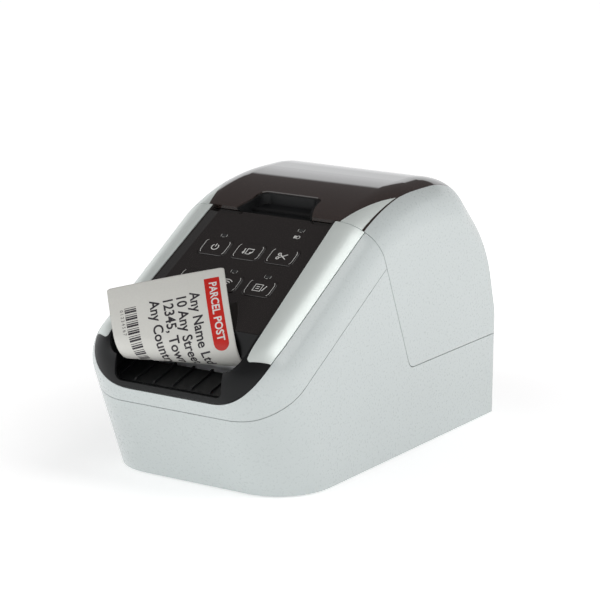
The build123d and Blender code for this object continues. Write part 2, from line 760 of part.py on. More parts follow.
def print_frame():
    y = (-82.0, -30.0)
    floor = (20.0, 20.0 + FRAME_T)
    part = block((-FRAME_X, FRAME_X), y, floor)
    outer = FRAME_X + FRAME_T
    outline = make_face([
        Polyline(
            (y[0], floor[0]), (y[0], 84.0), (y[0] + 22, 88.0), (y[1], 70.0), (y[1], floor[0]), close=True
        )
    ])
    for side in both_sides(side_slab(outline, (FRAME_X, outer))):
        part += side
    part -= rod_x(4.5, (-60, 60), PLATEN)
    part -= rod_x(1.5, (-60, 60), HEAD_PIVOT)
    part -= rod_x(1.5, (-60, 0), IDLER)
    part -= rod_x(3.2, (-60, -20), PINION)
    for x in (-30.0, 30.0):
        part += block((x - 5, x + 5), (-60, -50), (FLOOR_Z + PLATE_T, floor[0]))
    return part


def platen_shaft():
    return rod_x(3.0, (-51.5, 45.4), PLATEN)


def platen_roller():
    return rod_x(PLATEN_R, (-33, 33), PLATEN) - rod_x(3.0, (-40, 40), PLATEN)


def platen_bushes():
    bush = rod_x(4.5, (42.2, 45.2), PLATEN) + rod_x(6.0, (41.4, FRAME_X), PLATEN)
    bush -= rod_x(3.05, (40, 50), PLATEN)
    return both_sides(bush)


def platen_gear():
    return gear_x(TEETH["platen"], IDLER_ANGLE, PLATEN, GEAR_X) - rod_x(3.0, (-60, 0), PLATEN)


def idler_gear():
    phase = space_at(TEETH["idler"], IDLER_ANGLE + 180)
    part = gear_x(TEETH["idler"], phase, IDLER, GEAR_X)
    for n in range(5):
        hole = gear_centre(IDLER, 72.0 * n, 6.6)
        part -= rod_x(2.0, (-60, 0), hole)
    return part - rod_x(1.55, (-60, 0), IDLER)


def idler_stud():
    stud = rod_x(1.5, (-51.2, -FRAME_X), IDLER)
    return stud + rod_x(2.8, (-52.2, -51.0), IDLER)


def motor_pinion():
    # The idler's tooth that is nearest to straight down sets the pinion's phase.
    step = 360.0 / TEETH["idler"]
    phase = space_at(TEETH["idler"], IDLER_ANGLE + 180)
    nearest = phase + step * round((-90.0 - phase) / step)
    slip = (nearest + 90.0) * TEETH["idler"] / TEETH["pinion"]
    part = gear_x(TEETH["pinion"], space_at(TEETH["pinion"], 90.0 - slip), PINION, GEAR_X)
    return part + rod_x(1.0, (-52.0, -38.0), PINION)


def feed_motor():
    can = rod_x(MOTOR_R, (-FRAME_X, -27.0), PINION)
    can = chamfer(can.edges().filter_by(GeomType.CIRCLE).group_by(Axis.X)[-1], 1.0)
    can += rod_x(4.0, (-27.0, -25.5), PINION)
    return can - rod_x(1.05, (-60, -36.0), PINION)


HEAD_TOP = 66.1


def print_head():
    """Ceramic plate with the heated line along its front edge."""
    plate = block((-34, 34), (-77.0, -63.0), (HEAD_TOP - 1.5, HEAD_TOP - 0.2))
    return plate + block((-33, 33), (-71.5, -68.5), (HEAD_TOP - 0.4, HEAD_TOP))


def heat_sink():
    part = block((-34, 34), (-77.0, -61.0), (HEAD_TOP - 8.6, HEAD_TOP - 1.5))
    for n in range(5):
        y = -75.2 + 3.0 * n
        part -= block((-40, 40), (y, y + 1.4), (HEAD_TOP - 10, HEAD_TOP - 4.0))
    return part


def head_bracket():
    top = HEAD_TOP - 8.6
    part = block((-34, 34), (-78.5, -43.0), (top - 1.5, top))
    lug = block((30, 34), (-45.0, HEAD_PIVOT[0]), (top - 1.5, HEAD_PIVOT[1] + 2.5))
    lug += rod_x(3.0, (30, 34), HEAD_PIVOT)
    for one in both_sides(lug):
        part += one
    return part - rod_x(1.55, (-60, 60), HEAD_PIVOT)


def head_pivot():
    return rod_x(1.5, (-FRAME_X - 1.5, FRAME_X + 1.5), HEAD_PIVOT)


SPRING = (3.2, 0.45)
SPRING_Z = (20.0 + FRAME_T, HEAD_TOP - 10.1)


def head_springs():
    made = []
    height = SPRING_Z[1] - SPRING_Z[0] - 2 * SPRING[1] - 0.1
    for x in (-14.0, 14.0):
        turns = Helix(pitch=height / 9, height=height, radius=SPRING[0])
        wire_end = Plane(origin=turns @ 0, z_dir=turns % 0)
        coil = sweep(wire_end * Circle(SPRING[1]), path=turns)
        made.append(Pos(x, -70.0, SPRING_Z[0] + SPRING[1] + 0.05) * coil)
    return made


# ---- Cutter -------------------------------------------------------------------------------------------
def cutter_frame():
    part = block((-40, 40), (-86.4, -85.0), (70.5, 83.0))
    for leg in both_sides(block((36.4, 40), (-86.4, -83.2), (58.0, 83.0))):
        part += leg
    part += block((-34, 34), (-89.0, -85.0), (81.8, 83.0))
    for keeper in both_sides(block((30, 34), (-89.0, -87.8), (73.0, 83.0))):
        part += keeper
    return part + block((-40, 40), (-85.2, -83.2), (58.0, 60.0))


def fixed_blade():
    face = make_face([Polyline((-86.55, 60.2), (-86.55, 66.25), (-86.25, 66.25), (-85.3, 65.2), (-85.3, 60.2),
                               close=True)])
    return side_slab(face, (-36.2, 36.2))


def rack_tooth_z():
    pitch = math.pi * RACK_MODULE
    return [CUT_PINION_Z + pitch * n for n in range(-3, 4)]


def moving_blade():
    y = BLADE_Y
    edge = Polyline((-36, 71.6), (0, 69.6), (36, 71.6), (36, 81.2), (-36, 81.2), close=True)
    plate = extrude(Plane.XZ.offset(-y[1]) * make_face([edge]), amount=y[1] - y[0])
    pitch_x = CUT_PINION_X - RACK_MODULE * RACK_TEETH / 2
    root_x = pitch_x - 1.15 * RACK_MODULE
    arm = block((35.5, root_x), (-90.0, y[1]), (CUT_PINION_Z - 9, CUT_PINION_Z + 9))
    plate += arm
    half = math.pi * RACK_MODULE / 4 * 0.88
    tip_x = pitch_x + 0.85 * RACK_MODULE
    for z in rack_tooth_z():
        tooth = make_face([
            Polyline(
                (root_x - 0.5, z - 1.45 * half), (root_x, z - 1.45 * half), (pitch_x, z - half),
                (tip_x, z - 0.55 * half), (tip_x, z + 0.55 * half),
                (pitch_x, z + half), (root_x, z + 1.45 * half), (root_x - 0.5, z + 1.45 * half), close=True,
            )
        ])
        plate += extrude(Plane.XZ.offset(87.2) * tooth, amount=2.8)
    return plate


def cutter_pinion():
    face = Pos(CUT_PINION_X, CUT_PINION_Z) * gear_face(RACK_TEETH, RACK_MODULE, space_at(RACK_TEETH, 180.0))
    part = extrude(Plane.XZ.offset(87.2) * face, amount=2.8)
    return part + rod_y(1.0, (-90.4, -80.0), (CUT_PINION_X, CUT_PINION_Z))


def cutter_motor():
    centre = (CUT_PINION_X, CUT_PINION_Z)
    can = rod_y(6.0, (-86.6, -62.0), centre)
    can = chamfer(can.edges().filter_by(GeomType.CIRCLE).group_by(Axis.Y)[-1], 0.8)
    return can - rod_y(1.05, (-90.0, -78.0), centre)


# ---- Electronics --------------------------------------------------------------------------------------
def main_board():
    z = 8.0
    board = block((-46, 46), (15, 105), (z, SOCKET_Z))
    chips = [(-20, 40, 14, 14, 1.6), (8, 35, 20, 12, 1.4), (-28, 70, 10, 8, 1.2), (20, 70, 9, 16, 2.2)]
    for x, y, wide, long, tall in chips:
        board += block((x, x + wide), (y, y + long), (SOCKET_Z, SOCKET_Z + tall))
    for x in (-20.0, -6.0):
        board += rod_z(4.0, (SOCKET_Z, SOCKET_Z + 7.0), (x, 96.0))
    return board


def dc_socket():
    part = block((DC_X - 4.6, DC_X + 4.6), (103, BACK_Y - 0.2), (SOCKET_Z, SOCKET_Z + 11))
    return part - rod_y(2.9, (107, 120), (DC_X, SOCKET_Z + 5.6))


def dc_pin():
    return rod_y(1.0, (107.0, 116.0), (DC_X, SOCKET_Z + 5.6))


def usb_socket():
    part = block((USB_X - 6, USB_X + 6), (101, BACK_Y - 0.2), (SOCKET_Z, SOCKET_Z + 10.8))
    middle = SOCKET_Z + 5.4
    cavity = block((USB_X - 4.3, USB_X + 4.3), (106, 120), (middle - 4.0, middle + 4.0))
    cavity -= block((USB_X - 2.8, USB_X + 2.8), (100, 115), (middle - 1.6, middle + 1.6))
    return part - cavity


# ---- Everything ---------------------------------------------------------------------------------------
BUTTON_NAMES = ("power", "feed", "cut", "label", "wireless", "editor")


def all_parts():
    parts = {
        "base_shell": base_shell(),
        "bottom_plate": bottom_plate(),
        "rubber_feet": rubber_feet(),
        "base_screws": base_screws(),
        "front_cover": front_cover(),
        "mouth_bezel": mouth_bezel(),
        "exit_tray": exit_tray(),
        "exit_hood": exit_hood(),
        "control_panel": control_panel(),
        "indicator_lenses": indicator_lenses(),
        "keypad_mat": keypad_mat(),
        "panel_board": panel_board(),
        "lid_cover": lid_cover(),
        "lid_handle": lid_handle(),
        "lid_frame": lid_frame(),
        "hinge_pins": hinge_pins(),
        "roll_bay": roll_bay(),
        "roll_core": roll_core(),
        "label_roll": label_roll(),
        "label_web": label_web(),
        "printed_label": printed_label(),
        "print_frame": print_frame(),
        "platen_shaft": platen_shaft(),
        "platen_roller": platen_roller(),
        "platen_bushes": platen_bushes(),
        "platen_gear": platen_gear(),
        "idler_gear": idler_gear(),
        "idler_stud": idler_stud(),
        "motor_pinion": motor_pinion(),
        "feed_motor": feed_motor(),
        "print_head": print_head(),
        "heat_sink": heat_sink(),
        "head_bracket": head_bracket(),
        "head_pivot": head_pivot(),
        "head_springs": head_springs(),
        "cutter_frame": cutter_frame(),
        "fixed_blade": fixed_blade(),
        "moving_blade": moving_blade(),
        "cutter_pinion": cutter_pinion(),
        "cutter_motor": cutter_motor(),
        "main_board": main_board(),
        "dc_socket": dc_socket(),
        "dc_pin": dc_pin(),
        "usb_socket": usb_socket(),
    }
    for side, right in (("left", False), ("right", True)):
        parts[f"rail_{side}"] = rail(right)
        parts[f"lid_side_{side}"] = lid_side(right)
        parts[f"lid_trim_{side}"] = lid_trim(right)
        parts[f"roll_bracket_{side}"] = roll_bracket(right)
        parts[f"spool_{side}"] = spool(right)
    for name, (x, s) in zip(BUTTON_NAMES, button_places()):
        parts[f"button_{name}"] = button(x, s)
    return parts


def write_parts():
    os.makedirs("parts", exist_ok=True)
    for name, shape in all_parts().items():
        shapes = shape if isinstance(shape, list) else [shape]
        solids = [solid for one in shapes for solid in one.solids()]
        export_step(Compound(children=solids), f"parts/{name}.step")


write_parts()
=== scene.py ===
import json
import math

import bmesh
import bpy
from mathutils import Matrix, Vector


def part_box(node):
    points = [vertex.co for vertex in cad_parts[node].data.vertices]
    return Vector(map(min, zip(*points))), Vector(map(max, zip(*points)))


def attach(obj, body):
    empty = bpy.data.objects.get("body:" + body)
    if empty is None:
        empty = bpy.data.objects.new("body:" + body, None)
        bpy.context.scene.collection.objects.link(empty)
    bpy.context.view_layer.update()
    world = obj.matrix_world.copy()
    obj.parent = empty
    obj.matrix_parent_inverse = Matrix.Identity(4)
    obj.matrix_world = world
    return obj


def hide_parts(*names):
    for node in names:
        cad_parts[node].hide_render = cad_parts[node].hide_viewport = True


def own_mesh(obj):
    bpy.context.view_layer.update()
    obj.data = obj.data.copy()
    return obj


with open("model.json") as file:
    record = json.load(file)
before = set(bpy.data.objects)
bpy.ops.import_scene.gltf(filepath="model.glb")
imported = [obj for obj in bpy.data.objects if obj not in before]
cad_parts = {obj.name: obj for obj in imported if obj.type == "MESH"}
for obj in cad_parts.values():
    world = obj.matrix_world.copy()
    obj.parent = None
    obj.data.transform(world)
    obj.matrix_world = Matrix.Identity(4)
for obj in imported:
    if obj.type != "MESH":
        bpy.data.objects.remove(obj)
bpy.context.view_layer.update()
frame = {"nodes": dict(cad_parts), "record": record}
MM = 0.001

# ---- Places on the printer, in millimetres, as in the CAD -----------------------------------------------
SLOPE = math.radians(31.17)          # lean of the control panel
TOP_Y, TOP_Z = -21.54, 132.13        # upper end of the slope
BUTTON_TOP = 2.65                    # depth of the button faces below the slope
PANEL_FACE = 3.0                     # depth of the panel below the slope
LABEL_W, LABEL_T = 62.0, 0.25
LABEL_Y, LABEL_Z = -94.3, 66.4
LABEL_SKEW = math.radians(18.6)
CURL_R, CURL_TURN = 10.0, math.radians(119.1)
LOOSE_R = 85.3
FLAT_LENGTH = 0.8
LABEL_LENGTH, LABEL_TAIL = 58.9, 5.0
LABEL_CORNER_R = 1.6
SHEET_ROWS, SHEET_COLUMNS = 110, 56  # quads along and across the label
BUTTONS = {
    "power": (-21.3, 27.6), "feed": (0.0, 27.6), "cut": (21.3, 27.6),
    "label": (-21.3, 52.2), "wireless": (0.0, 52.2), "editor": (21.3, 52.2),
}
LENSES = [(-21.1, 18.0), (21.4, 6.4), (0.0, 43.0), (21.3, 43.3)]    # x across, then down the slope


# ---- Materials ------------------------------------------------------------------------------------------
def new_material(name):
    material = bpy.data.materials.new(name)
    material.use_nodes = True
    tree = material.node_tree
    return material, tree, tree.nodes["Principled BSDF"]


def node(tree, kind, **settings):
    made = tree.nodes.new(kind)
    for key, value in settings.items():
        if key in made.inputs:
            made.inputs[key].default_value = value
        else:
            setattr(made, key, value)
    return made


def object_noise(tree, scale, detail=3.0, stretch=None):
    """Noise fixed to the object, with its pattern in units of 1/scale metres."""
    place = node(tree, "ShaderNodeTexCoord")
    noise = node(tree, "ShaderNodeTexNoise", Scale=scale, Detail=detail)
    if stretch is None:
        tree.links.new(place.outputs["Object"], noise.inputs["Vector"])
    else:
        mapping = node(tree, "ShaderNodeMapping")
        mapping.inputs["Scale"].default_value = stretch
        tree.links.new(place.outputs["Object"], mapping.inputs["Vector"])
        tree.links.new(mapping.outputs["Vector"], noise.inputs["Vector"])
    return noise


def ramp(tree, source, stops):
    made = node(tree, "ShaderNodeValToRGB")
    made.color_ramp.elements[0].position = stops[0][0]
    made.color_ramp.elements[0].color = stops[0][1]
    made.color_ramp.elements[1].position = stops[1][0]
    made.color_ramp.elements[1].color = stops[1][1]
    tree.links.new(source, made.inputs["Fac"])
    return made


def tint(tree, shader, noise, colour, spread):
    """Base colour that drifts a little either way with the noise."""
    low = [c * (1 - spread) for c in colour] + [1]
    high = [min(c * (1 + spread), 1) for c in colour] + [1]
    mixed = ramp(tree, noise.outputs["Fac"], [(0.35, low), (0.65, high)])
    tree.links.new(mixed.outputs["Color"], shader.inputs["Base Color"])


def roughness(tree, shader, noise, low, high):
    grey = ramp(tree, noise.outputs["Fac"], [(0.3, (low, low, low, 1)), (0.7, (high, high, high, 1))])
    tree.links.new(grey.outputs["Color"], shader.inputs["Roughness"])


def bump(tree, shader, noise, depth):
    raised = node(tree, "ShaderNodeBump", Strength=0.5, Distance=depth)
    tree.links.new(noise.outputs["Fac"], raised.inputs["Height"])
    tree.links.new(raised.outputs["Normal"], shader.inputs["Normal"])


def plastic(name, colour, rough, grain_scale, grain_depth, spread=0.02, coat=0.0, metallic=0.0):
    """Moulded plastic: fine spark-eroded grain, slight drift of colour and gloss."""
    material, tree, shader = new_material(name)
    tint(tree, shader, object_noise(tree, 9.0, 0.0), colour, spread)
    roughness(tree, shader, object_noise(tree, 800.0, 1.0), rough[0], rough[1])
    if grain_depth:
        bump(tree, shader, object_noise(tree, grain_scale, 2.0), grain_depth)
    shader.inputs["Metallic"].default_value = metallic
    shader.inputs["Coat Weight"].default_value = coat
    shader.inputs["Coat Roughness"].default_value = 0.04
    return material


def brushed(name, colour, stretch, rough=(0.26, 0.42)):
    material, tree, shader = new_material(name)
    streaks = object_noise(tree, 60.0, 4.0, stretch)
    tint(tree, shader, streaks, colour, 0.10)
    roughness(tree, shader, streaks, *rough)
    bump(tree, shader, streaks, 0.00002)
    shader.inputs["Metallic"].default_value = 1.0
    return material


def paper(name, colour):
    """Coated label paper with a faint fibre."""
    material, tree, shader = new_material(name)
    fibre = object_noise(tree, 900.0, 5.0)
    tint(tree, shader, fibre, colour, 0.015)
    roughness(tree, shader, fibre, 0.42, 0.55)
    bump(tree, shader, fibre, 0.00001)
    shader.inputs["Sheen Weight"].default_value = 0.05
    return material


def wound_paper(name, colour):
    """Edge of a label roll: rings about the roll's own axis."""
    material, tree, shader = new_material(name)
    place = node(tree, "ShaderNodeTexCoord")
    low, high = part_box("label_roll")
    centre = (low + high) / 2
    shift = node(tree, "ShaderNodeMapping")
    shift.inputs["Location"].default_value = -centre
    rings = node(tree, "ShaderNodeTexWave", Scale=160.0, Distortion=0.4, wave_type="RINGS",
                 rings_direction="X")
    tree.links.new(place.outputs["Object"], shift.inputs["Vector"])
    tree.links.new(shift.outputs["Vector"], rings.inputs["Vector"])
    tint(tree, shader, rings, colour, 0.05)
    shader.inputs["Roughness"].default_value = 0.6
    return material


def ink(name, colour, rough=0.4):
    material, tree, shader = new_material(name)
    tint(tree, shader, object_noise(tree, 400.0), colour, 0.04)
    shader.inputs["Roughness"].default_value = rough
    return material


def laminate(name):
    """Circuit board: green resist over a faint copper pattern."""
    material, tree, shader = new_material(name)
    place = node(tree, "ShaderNodeTexCoord")
    tracks = node(tree, "ShaderNodeTexBrick", Scale=220.0)
    tracks.inputs["Color1"].default_value = (0.012, 0.10, 0.04, 1)
    tracks.inputs["Color2"].default_value = (0.015, 0.13, 0.05, 1)
    tracks.inputs["Mortar"].default_value = (0.05, 0.22, 0.09, 1)
    tree.links.new(place.outputs["Object"], tracks.inputs["Vector"])
    tree.links.new(tracks.outputs["Color"], shader.inputs["Base Color"])
    shader.inputs["Roughness"].default_value = 0.35
    return material


def smoked_lens(name):
    material, tree, shader = new_material(name)
    tint(tree, shader, object_noise(tree, 300.0), (0.028, 0.030, 0.030), 0.05)
    shader.inputs["Roughness"].default_value = 0.12
    shader.inputs["Coat Weight"].default_value = 0.6
    return material


# After a plastic's colour come its roughness from and to, grain scale, grain depth in metres, drift of
# colour, clear coat and metallic share.
FINE_GRAIN = 0.0000008
SLOTS = {
    "case_white": plastic("case_white", (0.54, 0.585, 0.58), (0.27, 0.29), 3000.0, FINE_GRAIN, 0.008, 0.25),
    "gloss_black": plastic("gloss_black", (0.0150, 0.0125, 0.0118), (0.05, 0.08), 2500.0, 0.0, 0.03, 0.6),
    "rail_silver": plastic(
        "rail_silver", (0.78, 0.84, 0.81), (0.34, 0.37), 3000.0, FINE_GRAIN, 0.01, 0.1, 0.3
    ),
    "inner_black": plastic("inner_black", (0.020, 0.020, 0.021), (0.42, 0.55), 3600.0, 0.00002, 0.08),
    "lens": smoked_lens("lens"),
    "rubber": plastic("rubber", (0.024, 0.024, 0.025), (0.72, 0.85), 2600.0, 0.00003, 0.10),
    "circuit_board": laminate("circuit_board"),
    "label_paper": wound_paper("label_paper", (0.76, 0.76, 0.72)),
    "core_card": plastic("core_card", (0.33, 0.24, 0.15), (0.8, 0.9), 1500.0, 0.00004, 0.12),
    "white_nylon": plastic("white_nylon", (0.74, 0.73, 0.68), (0.35, 0.48), 3000.0, 0.00001, 0.02),
    "steel": brushed("steel", (0.56, 0.57, 0.58), (1, 0.08, 1)),
    "aluminium": brushed("aluminium", (0.78, 0.79, 0.80), (0.05, 1, 1)),
    "ceramic": plastic("ceramic", (0.78, 0.74, 0.64), (0.12, 0.2), 2000.0, 0.0, 0.02, 0.5),
    "brass": brushed("brass", (0.80, 0.58, 0.25), (1, 1, 0.1)),
}
LABEL_FACE = paper("label_face", (0.665, 0.665, 0.625))
INK_BLACK = ink("ink_black", (0.028, 0.024, 0.030))
INK_RED = ink("ink_red", (0.56, 0.016, 0.010))
PRINT_WHITE = ink("print_white", (0.72, 0.72, 0.70), 0.5)
MARK_WHITE = ink("mark_white", (0.62, 0.62, 0.60), 0.5)

# Pieces whose finish differs from their slot's: the lid is smoked brown, the mouth is satin.
SMOKED_LID = plastic("smoked_lid", (0.030, 0.0195, 0.0165), (0.03, 0.06), 2500.0, 0.0, 0.03, 0.8)
MOUTH_BLACK = plastic("mouth_black", (0.0085, 0.0090, 0.0095), (0.30, 0.38), 3200.0, 0.000006, 0.05, 0.0)
MOUTH_BLACK.node_tree.nodes["Principled BSDF"].inputs["Specular IOR Level"].default_value = 0.2
OWN_FINISH = {
    "lid_cover": SMOKED_LID, "mouth_bezel": MOUTH_BLACK, "exit_tray": MOUTH_BLACK,
    "exit_hood": MOUTH_BLACK, "lid_handle": MOUTH_BLACK,
}

SLOT_OF = {row["node"]: row["material_slot"] for row in frame["record"]["subparts"]}


def dress_cad():
    """Every CAD piece takes its slot's material, or its own finish."""
    for name, piece in frame["nodes"].items():
        piece.data.materials.clear()
        piece.data.materials.append(OWN_FINISH.get(name) or SLOTS[SLOT_OF[name]])


# ---- Geometry helpers -----------------------------------------------------------------------------------
def link(name, mesh, material):
    piece = bpy.data.objects.new(name, mesh)
    bpy.context.scene.collection.objects.link(piece)
    piece.data.materials.append(material)
    return piece


def mesh_of(name, points, faces, material):
    mesh = bpy.data.meshes.new(name)
    mesh.from_pydata([Vector(p) * MM for p in points], [], faces)
    mesh.update()
    return link(name, mesh, material)


def arc(centre, radius, start, end, steps=14):
    """Points along a circle from one angle to another, in degrees."""
    points = []
    for n in range(steps + 1):
        angle = math.radians(start + (end - start) * n / steps)
        points.append((centre[0] + radius * math.cos(angle), centre[1] + radius * math.sin(angle)))
    return points


def on_slope(x, s, depth):
    """Point on the slope: x across, s down it, depth below it."""
    return Vector((
        x,
        TOP_Y - s * math.cos(SLOPE) + depth * math.sin(SLOPE),
        TOP_Z - s * math.sin(SLOPE) - depth * math.cos(SLOPE),
    ))


# ---- The printed label ----------------------------------------------------------------------------------
def label_point(u, w, lift=0.0):
    """u across the label, w along it from the slot, lift out of its outer face."""
    across = u * math.cos(LABEL_SKEW) - w * math.sin(LABEL_SKEW)
    along = u * math.sin(LABEL_SKEW) + w * math.cos(LABEL_SKEW)
    bent = max(along - FLAT_LENGTH, 0.0)
    tight = min(bent / CURL_R, CURL_TURN)
    flat = min(along, FLAT_LENGTH) + CURL_R * math.sin(tight)
    rise = CURL_R * (1 - math.cos(tight))
    loose = max(bent - CURL_R * CURL_TURN, 0.0) / LOOSE_R
    flat += LOOSE_R * (math.sin(CURL_TURN + loose) - math.sin(CURL_TURN))
    rise += LOOSE_R * (math.cos(CURL_TURN) - math.cos(CURL_TURN + loose))
    heading = tight + loose
    flat += lift * math.sin(heading)
    rise -= lift * math.cos(heading)
    x = across * math.cos(LABEL_SKEW) + flat * math.sin(LABEL_SKEW)
    y = across * math.sin(LABEL_SKEW) - flat * math.cos(LABEL_SKEW)
    return Vector((x, LABEL_Y + y, LABEL_Z + rise))


def label_sheet():
    """The label as one thin sheet with rounded free corners."""
    rows, columns = SHEET_ROWS, SHEET_COLUMNS
    corner = LABEL_CORNER_R
    points = []
    for side in (0.0, -LABEL_T):
        for i in range(rows + 1):
            w = -LABEL_TAIL + (LABEL_LENGTH + LABEL_TAIL) * i / rows
            past = max(w - (LABEL_LENGTH - corner), 0.0)
            half = LABEL_W / 2 - (corner - math.sqrt(max(corner**2 - past**2, 0.0)))
            for j in range(columns + 1):
                points.append(label_point(half * (2 * j / columns - 1), w, side))
    layer = (rows + 1) * (columns + 1)
    faces = []
    for i in range(rows):
        for j in range(columns):
            a = i * (columns + 1) + j
            b, c, d = a + 1, a + columns + 2, a + columns + 1
            faces.append((a, d, c, b))
            faces.append((layer + a, layer + b, layer + c, layer + d))
    rim = list(range(columns + 1))
    rim += [(i + 1) * (columns + 1) + columns for i in range(rows)]
    rim += [rows * (columns + 1) + columns - 1 - j for j in range(columns)]
    rim += [(rows - 1 - i) * (columns + 1) for i in range(rows - 1)]
    for n, a in enumerate(rim):
        b = rim[(n + 1) % len(rim)]
        faces.append((a, b, layer + b, layer + a))
    sheet = mesh_of("label_sheet", points, faces, LABEL_FACE)
    sheet.data.shade_smooth()
    return sheet


PRINT_STEP = 0.9                     # largest piece of print that stays flat on the curl
CAPITAL_SHARE = 0.545                # height of a capital as a share of the font's size


def flat_text(name, text, height, bold=0.0):
    """Text as a flat mesh, in millimetres, its capitals as high as asked, its lower left at the origin."""
    curve = bpy.data.curves.new(name, "FONT")
    curve.body = text
    curve.size = height / CAPITAL_SHARE
    curve.offset = bold
    curve.resolution_u = 4
    maker = bpy.data.objects.new(name, curve)
    bpy.context.scene.collection.objects.link(maker)
    bpy.context.view_layer.update()
    mesh = bpy.data.meshes.new_from_object(maker.evaluated_get(bpy.context.evaluated_depsgraph_get()))
    bpy.data.objects.remove(maker)
    return mesh


def wrap_on_label(name, mesh, start, turn, material, lift):
    """Lays a flat mesh on the label: its origin at (u, w), turned in the label's own plane."""
    shape = bmesh.new()
    shape.from_mesh(mesh)
    place = Matrix.Rotation(turn, 4, "Z")
    shape.transform(place)
    for axis in (Vector((1, 0, 0)), Vector((0, 1, 0))):
        places = [v.co.dot(axis) for v in shape.verts]
        for n in range(1, int((max(places) - min(places)) / PRINT_STEP) + 1):
            level = (min(places) + n * PRINT_STEP) * axis
            everything = shape.verts[:] + shape.edges[:] + shape.faces[:]
            bmesh.ops.bisect_plane(shape, geom=everything, plane_co=level, plane_no=axis)
    for v in shape.verts:
        v.co = label_point(start[0] + v.co.x, start[1] + v.co.y, lift) * MM
    made = bpy.data.meshes.new(name)
    shape.to_mesh(made)
    shape.free()
    return link(name, made, material)


def outline_mesh(name, points):
    mesh = bpy.data.meshes.new(name)
    mesh.from_pydata([(x, y, 0) for x, y in points], [], [tuple(range(len(points)))])
    return mesh


INK_LIFT = 0.03                      # the print stands this far off the paper
# Places named U are across the label, and a start is measured back from its free end.
BANNER_U = (19.8, 27.8)
BANNER_START, BANNER_LENGTH = 6.2, 43.0
BANNER_TEXT_U, BANNER_TEXT_START, BANNER_CAPITALS, BANNER_BOLD = 22.2, 9.0, 3.1, 0.13
ADDRESS = ("Any Name Ltd", "10 Any Street", "12345, Town", "Any Country")
ADDRESS_U, ADDRESS_PITCH, ADDRESS_START = 11.6, 7.1, 13.2
ADDRESS_CAPITALS, ADDRESS_BOLD = 4.0, 0.15
DIGITS_U, DIGITS_START, DIGITS_CAPITALS = -25.6, 14.5, 1.3
BARS_U = (-23.2, -17.0)
BARS_START, BARS_LENGTH = 14.0, 34.0
THIN_BAR, THIN_GAP, GAP_STEP = 0.35, 0.32, 0.30


def banner_outline():
    """Red band with a half-round lower end."""
    low_u, high_u = BANNER_U
    radius = (high_u - low_u) / 2
    top = LABEL_LENGTH - BANNER_START
    bend = top - BANNER_LENGTH + radius
    points = [(low_u, top), (low_u, bend)]
    points += arc((low_u + radius, bend), radius, 180, 360, 12)
    points.append((high_u, top))
    return outline_mesh("banner", points)


def barcode():
    """Bars whose widths repeat by a simple rule, so that they carry no code."""
    bars = bmesh.new()
    at = 0.0
    n = 0
    while at <= BARS_LENGTH:
        bar = THIN_BAR + THIN_BAR * ((n * 7 + 3) % 3)
        gap = THIN_GAP + GAP_STEP * ((n * 5 + 1) % 3)
        high = LABEL_LENGTH - BARS_START - at
        corners = [(BARS_U[0], high), (BARS_U[1], high), (BARS_U[1], high - bar), (BARS_U[0], high - bar)]
        bars.faces.new([bars.verts.new((x, y, 0)) for x, y in corners])
        at += bar + gap
        n += 1
    mesh = bpy.data.meshes.new("bars")
    bars.to_mesh(mesh)
    bars.free()
    return mesh


def written(name, text, u, start, capitals, material, lift, bold=0.0):
    """A line of text that reads away from the label's free end."""
    mesh = flat_text(name, text, capitals, bold)
    return wrap_on_label(name, mesh, (u, LABEL_LENGTH - start), -math.pi / 2, material, lift)


def print_on_label():
    """Generic shipping text with a banner and bars."""
    pieces = [wrap_on_label("label_banner", banner_outline(), (0, 0), 0.0, INK_RED, INK_LIFT)]
    pieces.append(written("label_banner_text", "PARCEL POST", BANNER_TEXT_U, BANNER_TEXT_START,
                          BANNER_CAPITALS, PRINT_WHITE, 2 * INK_LIFT, BANNER_BOLD))
    for n, text in enumerate(ADDRESS):
        pieces.append(written(f"label_line_{n + 1}", text, ADDRESS_U - n * ADDRESS_PITCH, ADDRESS_START,
                              ADDRESS_CAPITALS, INK_BLACK, INK_LIFT, ADDRESS_BOLD))
    pieces.append(written("label_digits", "0 1 2 3 4 5 6 7", DIGITS_U, DIGITS_START,
                          DIGITS_CAPITALS, INK_BLACK, INK_LIFT))
    pieces.append(wrap_on_label("label_barcode", barcode(), (0, 0), 0.0, INK_BLACK, INK_LIFT))
    return pieces


# ---- Marks on the panel ---------------------------------------------------------------------------------
def ribbon(paths, width, place, depth):
    """Flat printed strokes on the slope; paths are lists of (x, y) with y up the slope, in millimetres."""
    points, faces = [], []
    for path, closed in paths:
        count = len(path)
        first = len(points)
        for n, (x, y) in enumerate(path):
            before = path[(n - 1) % count] if closed or n > 0 else path[n]
            after = path[(n + 1) % count] if closed or n < count - 1 else path[n]
            run = Vector((after[0] - before[0], after[1] - before[1]))
            side = Vector((-run.y, run.x)).normalized() * width / 2
            for sign in (1, -1):
                px, py = x + sign * side.x, y + sign * side.y
                points.append(on_slope(place[0] + px, place[1] - py, depth))
        for n in range(count if closed else count - 1):
            a = first + 2 * n
            b = first + 2 * ((n + 1) % count)
            faces.append((a, a + 1, b + 1, b))
    return points, faces


def icon_power():
    return [(arc((0, -0.1), 1.7, 125, 415, 24), False), ([(0, 2.0), (0, 0.1)], False)]


def icon_feed():
    sheet = [(-0.9, 1.7), (2.4, 1.7), (2.1, -0.3), (0.9, -1.6), (-0.9, -1.6)]
    fold = [(2.1, -0.3), (1.0, -0.4), (0.9, -1.6)]
    arrow = [(-2.2, 1.7), (-2.2, -1.2)]
    head = [(-2.8, -0.5), (-2.2, -1.6), (-1.6, -0.5)]
    return [(sheet, True), (fold, False), (arrow, False), (head, False)]


